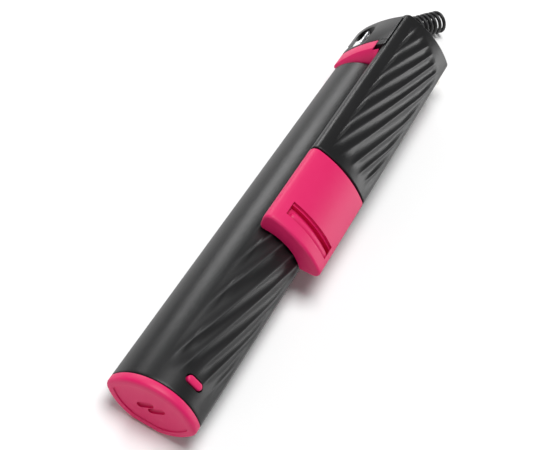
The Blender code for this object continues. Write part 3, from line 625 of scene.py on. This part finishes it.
def clamp_outline(step):
    """Closed profile of the clamp with outward normals, from the foot of the ridge's wall."""
    inner_r = LENS_R + CLAMP_LIFT
    foot_x = RIDGE_X + FOOT_R
    foot_z = math.sqrt((inner_r + FOOT_R) ** 2 - foot_x ** 2) - LENS_DROP
    foot_turn = 360 + math.degrees(math.atan2(-LENS_DROP - foot_z, -foot_x))
    foot = arc_points((foot_x, foot_z), FOOT_R, foot_turn, 180, step)
    wall_z = np.linspace(foot_z, RIDGE_C[1], 4)[1:-1]
    wall = np.stack((np.full(2, RIDGE_X), wall_z), 1), np.tile((-1.0, 0.0), (2, 1))
    ridge = arc_points(RIDGE_C, RIDGE_R, 180, RIDGE_END, step)
    top = arc_points(ARC_C, ARC_R, RIDGE_END, NOSE_END, step)
    nose = arc_points(NOSE_C, NOSE_R, NOSE_END, -90, step)
    toe_z = NOSE_C[1] - NOSE_R + LENS_DROP
    toe = math.degrees(math.asin(toe_z / inner_r))
    under = arc_points((0, -LENS_DROP), inner_r, toe, foot_turn - 180, 0.9)
    points = np.concatenate((foot[0], wall[0], ridge[0], top[0][1:], nose[0][1:], under[0][:-1]))
    normals = np.concatenate((foot[1], wall[1], ridge[1], top[1][1:], nose[1][1:], -under[1][:-1]))
    return points, normals


def clamp_across(x, z):
    """Distance along the wide arc from the ridge, for a place on the clamp's outer side."""
    return ARC_R * (CLAMP_ZERO - np.arctan2(z - ARC_C[1], x - ARC_C[0]))


# The panel's crests and how far they have swept at each place across.
CLAMP_CRESTS = np.array((54.6, 68.2, 81.0, 95.1, 111.2, 125.4, 137.6, 151.1, 163.8, 177.0, 190.3, 203.6))
CLAMP_SWEEP = np.array(((1.7, -42), (2.0, -34), (2.26, -30.7), (2.6, -27.2), (3.1, -24.5), (3.8, -21.8),
                        (4.5, -19.3), (5.15, -17), (5.85, -14.5), (6.55, -12), (7.28, -9.5), (8.0, -7),
                        (8.72, -4.5), (9.4, -2), (10.0, 0), (11.4, 5.3), (12.76, 10.5), (14.01, 15.5),
                        (15.26, 20.4), (16.5, 25.5), (17.7, 30.2), (18.9, 35.2), (19.8, 39.4), (20.6, 44.0),
                        (21.5, 50.0)))


def clamp_flutes(s, y):
    """Depth of the panel's fluting and nearness to a crest."""
    shift = y - np.interp(s, CLAMP_SWEEP[:, 0], CLAMP_SWEEP[:, 1])
    phase = np.interp(shift, CLAMP_CRESTS, np.arange(len(CLAMP_CRESTS)))
    top = 170.5 - 0.36 * s
    full = (1 - rise(s, 18.0, 21.2)) * rise(y, 96.0, 104.0) * (1 - rise(y, top - 5.0, top))
    left = rise(s, 1.3, 4.4)
    return FLUTE_DEPTH * full * np.minimum(hollow(phase), left), full * near_crest(phase) * (s > 2.3)


def clamp_block(name, y0, y1, soft, step, fluted=False):
    """The profile given length, its ends rounded, as one closed solid."""
    points, normals = clamp_outline(0.13 if fluted else 0.3)
    s = clamp_across(points[:, 0], points[:, 1])
    outside = ((points[:, 1] > CLAMP_LOW) & (points[:, 0] > 0)
               & (np.hypot(points[:, 0], points[:, 1] + LENS_DROP) > LENS_R + 0.8))

    def depth(i, y):
        let_in = rounded_ends(y, y0, y1, soft)
        return let_in + (clamp_flutes(s[i], y)[0] * outside[i] if fluted else 0)
    return rolled(name, points, normals, ends_list(y0, y1, step, soft), depth)


def slab(name, outline, y0, y1):
    """A flat outline across the stick given length along it."""
    outline = np.asarray(outline)
    return stacked(name, [np.stack((outline[:, 0], np.full(len(outline), y), outline[:, 1]), 1) for y in (y0, y1)])


def strip(outer_r, inner_r, x0, x1):
    """Outline of a strip between two circles about the wide arc's centre."""
    def reach(radius, a, b):
        turns = [math.degrees(math.acos((x - ARC_C[0]) / radius)) for x in (a, b)]
        return arc_points(ARC_C, radius, *turns, 0.5)[0]
    return np.concatenate((reach(outer_r, x0, x1), reach(inner_r, x1, x0)))


def clamp_cavity(inner_lift, x1, x1_low):
    """Outline of the hollow inside the clamp: under the outer wall, over the circle that follows the handle."""
    over = [math.degrees(math.acos((x - ARC_C[0]) / (ARC_R - 1.4))) for x in (-1.2, x1)]
    outer = arc_points(ARC_C, ARC_R - 1.4, *over, 0.6)[0]
    radius = LENS_R + inner_lift
    under = [math.degrees(math.acos(x / radius)) for x in (x1_low, -1.2)]
    return np.concatenate((outer, [(x1, 2.4)], arc_points((0, -LENS_DROP), radius, *under, 0.6)[0]))


# Panel: black fluted shell of the clamp, hollow under its first two thirds for the sliding carriage.
PANEL_ENDS = (94.1, 171.0)
panel = clamp_block("fluted_panel", *PANEL_ENDS, 0.35, 0.5, fluted=True)
carve(panel, slab("hollow", clamp_cavity(1.7, 14.5, 13.9), 93.0, 146.0))
at = places(panel)
high = at[:, 2] > CLAMP_LOW
# Crest nearness: stored for the ridges' polish and their painted highlight.
mark_crest_polish_and_highlight(panel, clamp_flutes(clamp_across(at[:, 0], at[:, 2]), at[:, 1])[1] * high)
ready(panel, "clamp", BLACK, ["clamp_shell"])

# Sliding jaw: pink, flush with the panel, hollow, with a slot across it and a rounded bar along the slot's
# lower side to pull it by.
JAW_ENDS = (61.4, 93.8)
SLOT_X, SLOT_DEEP, SLOT_STEP, BAR_DEEP, BAR_SIZE, BAR_Y = (2.9, 17.9), 2.3, 0.9, 1.9, (17.0, 2.9, 3.0), 67.4
jaw = clamp_block("pull_jaw", *JAW_ENDS, 0.8, 0.9)
carve(jaw, slab("hollow", clamp_cavity(1.6, 15.6, 13.8), 73.0, 95.0),
      slab("slot", strip(ARC_R + 3, ARC_R - SLOT_DEEP, *SLOT_X), 65.8, 70.5),
      slab("slot_step", strip(ARC_R + 3, ARC_R - SLOT_STEP, *SLOT_X), 70.4, 71.1))
ready(jaw, "jaw", PINK, ["sliding_jaw"])


def grip_bar():
    """A long rounded bar bent to the jaw's curve."""
    clear()
    bpy.ops.mesh.primitive_cube_add(size=1)
    bar = lone("pull_bar")
    bpy.ops.object.mode_set(mode="EDIT")
    bpy.ops.mesh.select_all(action="SELECT")
    bpy.ops.transform.resize(value=BAR_SIZE)
    bpy.ops.object.mode_set(mode="OBJECT")
    soft = bar.modifiers.new("soft", "BEVEL")
    soft.width, soft.segments = 1.2, 6
    finish_modifiers(bar)
    bpy.ops.object.mode_set(mode="EDIT")
    for cut_x in np.linspace(-8.0, 8.0, 33):
        bpy.ops.mesh.select_all(action="SELECT")
        bpy.ops.mesh.bisect(plane_co=(cut_x, 0, 0), plane_no=(1, 0, 0))
    bpy.ops.object.mode_set(mode="OBJECT")
    flat = corners(bar)
    turn = math.radians(55.2) - flat[:, 0] / (ARC_R - BAR_DEEP)
    radius = ARC_R - BAR_DEEP + flat[:, 2]
    lay(bar, np.stack((ARC_C[0] + radius * np.cos(turn), BAR_Y + flat[:, 1], ARC_C[1] + radius * np.sin(turn)), 1))
    return bar


ready(grip_bar(), "jaw", PINK, ["jaw_grip_bar"], smooth=50)


# Head: black block at the end of the clamp. Its left slope is a thin wing with an oblong hole and a steel bar in
# it for a wrist strap; its right part fills the section under the panel and holds the hinge and the cord.
def circle_through(p, q, r):
    """Centre and radius of the circle through three points."""
    ax, ay, bx, by, cx, cy = *p, *q, *r
    d = 2 * (ax * (by - cy) + bx * (cy - ay) + cx * (ay - by))
    ux = ((ax ** 2 + ay ** 2) * (by - cy) + (bx ** 2 + by ** 2) * (cy - ay) + (cx ** 2 + cy ** 2) * (ay - by)) / d
    uy = ((ax ** 2 + ay ** 2) * (cx - bx) + (bx ** 2 + by ** 2) * (ax - cx) + (cx ** 2 + cy ** 2) * (bx - ax)) / d
    return (ux, uy), math.dist((ux, uy), p)


ROOF_C, ROOF_R = circle_through((-13.8, 0.9), (-8.75, 8.4), (-2.2, 14.9))
WING_TIP, WING_R, WEDGE_Y, WEDGE_END = (-13.3, 0.3), 0.65, 154.6, 169.0


def roof(inset, x0, x1):
    """Points of the left slope between two places across, at an inset."""
    turns = [math.degrees(math.acos((x - ROOF_C[0]) / (ROOF_R - inset))) for x in (x0, x1)]
    return arc_points(ROOF_C, ROOF_R - inset, *turns, 0.5)[0]


def lens_over(x0, x1, offset=0.0):
    """Points of the circle that follows the handle between two places across."""
    radius = LENS_R + offset
    turns = [math.degrees(math.acos(x / radius)) for x in (x0, x1)]
    return arc_points((0, -LENS_DROP), radius, *turns, 0.5)[0]


def drop_close(points):
    """Drops points that stand on the one before."""
    kept = [points[0]]
    for p in points[1:]:
        if math.dist(p, kept[-1]) > 0.05:
            kept.append(p)
    return np.array(kept)


def head_outline():
    """Section of the head: the wing on the left, the handle's own lens shape on the right."""
    tip = arc_points(WING_TIP, WING_R, -90, -210, 0.2)[0]
    right_tip = arc_points((TIP_X, 0), TIP_R, TIP_DEG, -TIP_DEG, 0.3)[0]
    under = lens_over(12.55, 3.8) * (1, -1)
    land = [(3.74, FLOOR_Z), (-3.74, FLOOR_Z), (-5.5, -(math.sqrt(LENS_R ** 2 - 5.5 ** 2) - LENS_DROP))]
    return drop_close(np.concatenate((tip, roof(0, -13.75, -1.65), lens_over(-1.65, 12.6), right_tip, under, land,
                                      roof(2.0, -12.3, -5.5)[::-1])))


def softened(obj, width):
    """Rounds every sharp edge by a width."""
    soft = obj.modifiers.new("soft", "BEVEL")
    soft.width, soft.segments = width * 0.001, 2
    soft.limit_method, soft.angle_limit = "ANGLE", math.radians(40)
    finish_modifiers(obj)
    return obj


def head():
    """The block, cut for the wing's corner, the strap, the rod's eye, the hinge pin, the cord and two screws."""
    block = slab("head_block_fine", head_outline(), WEDGE_Y, WEDGE_END)
    bend = WEDGE_END - 2.6
    corner = [(-15.0, 171.6), (-15.0, bend), (-14.0, bend)]
    corner += [tuple(p) for p in arc_points((-11.3, bend), 2.65, 180, 90, 0.3)[0]][1:] + [(-11.3, 171.6)]
    corner = np.array(corner)
    plan = stacked("corner", [np.stack((corner[:, 0], corner[:, 1], np.full(len(corner), z)), 1)
                              for z in (-3, 12)])
    slot = slab("eye_slot", [(-2.7, -9.5), (2.7, -9.5), (2.7, 3.3), (-2.7, 3.3)], 153.0, 163.5)
    strap = pill("strap", 11.0, 4.4, [(-3, 0), (12, 0)], lambda u, v, w: (-10.6 + v, 161.1 + u, w))
    pivot = turned("pivot", [(0, 0), (1.55, 0), (1.55, 22), (0, 22)], (-14, 158, 0), (1, 0, 0), 32)
    gland = turned("gland", [(0, 0), (1.9, 0), (1.9, 6), (0, 6)], (9, 166.6, 1), (0, 1, 0), 32)
    carve(block, plan, slot, strap, pivot, gland)
    for x, y in ((9.8, 161.2), (5.5, 167.3)):
        under = -(math.sqrt(LENS_R ** 2 - x * x) - LENS_DROP)
        step = 10 + under + 1.6
        carve(block, turned("sink", [(0, 0), (1.9, 0), (1.9, step), (1.0, step), (1.0, 24), (0, 24)], (x, y, -10),
                            (0, 0, 1), 32))
    return softened(block, 0.18)


ready(head(), "clamp", BLACK, ["head_block"])
ear_outline = np.concatenate((roof(0.05, -4.15, -1.65), lens_over(-1.65, -4.15, 0.1)))
ridge_ear = slab("ridge_ear", drop_close(ear_outline), 151.6, 155.0)
ready(softened(ridge_ear, 0.12), "clamp", BLACK)
STEEL = steel("drawn_steel", (0.66, 0.67, 0.69), 0.30, (6, 0.15, 6))
strap_bar = turned("strap_bar", [(0.02, 0.0), (0.55, 0.0), (0.7, 0.15), (0.7, 12.85), (0.55, 13.0), (0.02, 13.0)],
                   (-10.2, 154.9, 4.3), (0, 1, 0), 32)
ready(strap_bar, "clamp", STEEL, ["strap_pin"])


# Fixed jaw: pink lip in front of the head, from the wing's tip to the ridge. Its front leans back and its foot
# follows the handle; underneath it straddles the rod.
def fixed_jaw():
    """The lip: its section, notched for the rod, with the front cut back and room for the ridge."""
    tip = arc_points(WING_TIP, WING_R, -90, -210, 0.2)[0]
    right_tip = arc_points((TIP_X, 0), TIP_R, TIP_DEG, -15.2, 0.3)[0]
    outline = np.concatenate((tip, roof(0, -13.75, -2.3), lens_over(-2.3, 12.6), right_tip, [(-11.8, -0.8)]))
    lip = slab("fixed_lip", drop_close(outline), 147.0, 154.3)
    notch = slab("notch", [(-2.9, -3), (2.9, -3), (2.9, 3), (-2.9, 3)], 146, 156)
    along = Vector((9.3, 0, 8.4)).normalized()
    out = Vector((-along.z, 0, along.x))

    def lean(y, h, w):
        return tuple(Vector((-13.6, y, 0)) + out * h + along * w)
    profile = [(147.0, 0.05), (151.14, 6.0), (145.0, 6.0), (145.0, 0.05)]
    face = stacked("lean", [[lean(y, h, w) for y, h in profile] for w in (-2, 24)])
    beside_ridge = slab("beside_ridge", [(-4.3, 7.0), (-1.0, 7.0), (-1.0, 18), (-4.3, 18)], 149.1, 156)
    carve(lip, notch, face, beside_ridge)
    return softened(lip, 0.15)


ready(fixed_jaw(), "clamp", PINK, ["fixed_jaw"])

# Return springs: steel wire wound on the two guide rods inside the clamp. They stand between the bulkhead and
# the jaw's carriage.
SPRING_TURNS, SPRING_STEPS, SPRING_WIRE, JAW_TRAVEL = 7, 20, 0.0002, 0.016
for number in (1, 2):
    low, high = (np.array(corner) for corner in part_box(f"return_spring_{number}"))
    centre, mean = (low + high) / 2, (high[0] - low[0]) / 2 - SPRING_WIRE
    wire = bpy.data.curves.new(f"wound_spring_{number}", "CURVE")
    wire.dimensions = "3D"
    wire.bevel_depth, wire.bevel_resolution, wire.use_fill_caps = SPRING_WIRE, 2, True
    winding = wire.splines.new("POLY")
    winding.points.add(SPRING_TURNS * SPRING_STEPS)
    for i, point in enumerate(winding.points):
        turn, share = math.tau * i / SPRING_STEPS, i / (SPRING_TURNS * SPRING_STEPS)
        point.co = (centre[0] + mean * math.cos(turn),
                    low[1] + SPRING_WIRE + share * (high[1] - low[1] - 2 * SPRING_WIRE),
                    centre[2] + mean * math.sin(turn), 1)
    spring = bpy.data.objects.new(f"wound_spring_{number}", wire)
    bpy.context.scene.collection.objects.link(spring)
    clear()
    spring.select_set(True)
    bpy.context.view_layer.objects.active = spring
    bpy.ops.object.convert(target="MESH")
    ready(spring, "clamp", STEEL, [f"return_spring_{number}"], smooth=60)
    1 - JAW_TRAVEL / (high[1] - low[1])
    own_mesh(spring)


# Metal and inner parts: drawn tubes, rods and screws in steel, plated contacts, plain black mouldings and the
# green board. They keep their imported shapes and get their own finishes.
def bare_finish(name, dark, pale, rough):
    """Any other plain moulding: two shades of its colour, grain and uneven polish."""
    finish = Finish(name)
    cloud = finish.noise(120.0, 4.0, 0.6)
    grain = finish.noise(5000.0, 2.0, 0.6)
    return finish.set(Base_Color=finish.blend(cloud, (*dark, 1), (*pale, 1)), Roughness=rough + cloud * 0.12,
                      Normal=finish.relief(grain, 0.00003, 0.3))


DARK_STEEL = steel("blackened_steel", (0.16, 0.16, 0.17), 0.36, (3, 3, 3))
INNER = bare_finish("inner_black_moulding", (0.02, 0.02, 0.022), (0.05, 0.05, 0.052), 0.5)
BOARD = bare_finish("green_board", (0.01, 0.10, 0.035), (0.02, 0.17, 0.06), 0.4)
for node, material in {
        "outer_tube": STEEL, "rod_section_1": STEEL, "rod_section_2": STEEL, "rod_section_3": STEEL,
        "rod_section_4": STEEL, "rod_eye": STEEL, "hinge_pin": STEEL, "guide_rod_1": STEEL,
        "guide_rod_2": STEEL, "hinge_washer_1": GOLD, "hinge_washer_2": GOLD, "switch_dome": GOLD,
        "shutter_board": BOARD, "tact_switch": DARK_STEEL,
        "case_screw_1": DARK_STEEL, "case_screw_2": DARK_STEEL, "case_screw_3": DARK_STEEL,
        "case_screw_4": DARK_STEEL, "head_screw_1": DARK_STEEL, "head_screw_2": DARK_STEEL,
        "carriage_screw": DARK_STEEL, "mouth_plug": INNER, "tube_anchor": INNER, "clamp_cover": INNER,
        "clamp_bulkhead": INNER, "jaw_carriage": INNER, "rod_bush_1": INNER, "rod_bush_2": INNER,
        "rod_bush_3": INNER, "rod_bush_4": INNER}.items():
    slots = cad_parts[node].data.materials
    slots.clear()
    slots.append(material)


# Studio: a pale floor under soft lights, two of them low behind the object to draw its ridges.
def floor_finish():
    """Pale matt board, barely clouded."""
    finish = Finish("pale_floor", Specular_IOR_Level=0.2)
    cloud = finish.noise(6.0, 3.0, 0.5)
    return finish.set(Base_Color=finish.blend(cloud, (0.90, 0.90, 0.90, 1), (0.93, 0.93, 0.93, 1)),
                      Roughness=0.8 + cloud * 0.1)


clear()
bpy.ops.mesh.primitive_plane_add(size=8, location=(0, 0, -0.0002))
floor = lone("floor")
floor.data.materials.append(floor_finish())


def softbox(name, direction, distance, size, energy, size_y=None):
    """An area light at a direction from the middle of the stick, facing it."""
    data = bpy.data.lights.new(name, "AREA")
    data.energy, data.size = energy, size
    if size_y:
        data.shape, data.size_y = "RECTANGLE", size_y
    lamp = bpy.data.objects.new(name, data)
    bpy.context.scene.collection.objects.link(lamp)
    aim = Vector(direction).normalized()
    lamp.location = spot(0, 100, 0) + aim * distance
    lamp.rotation_euler = aim.to_track_quat("Z", "Y").to_euler()
    return lamp


softbox("overhead", (-0.05, 0.08, 1.0), 1.3, 0.7, 17)
softbox("left_back", (-0.667, 0.647, 0.379), 0.9, 0.40, 2.6, 0.22)
softbox("right_back", (0.76, 0.63, 0.14), 0.9, 0.60, 2.4, 0.20)
softbox("front_fill", (-0.15, -0.95, 0.35), 1.0, 0.60, 1.6, 0.30)
world = bpy.data.worlds.new("studio")
world.use_nodes = True
world.node_tree.nodes["Background"].inputs["Color"].default_value = (1, 1, 1, 1)
world.node_tree.nodes["Background"].inputs["Strength"].default_value = 0.10
bpy.context.scene.world = world
bpy.context.scene.view_settings.view_transform = "Standard"
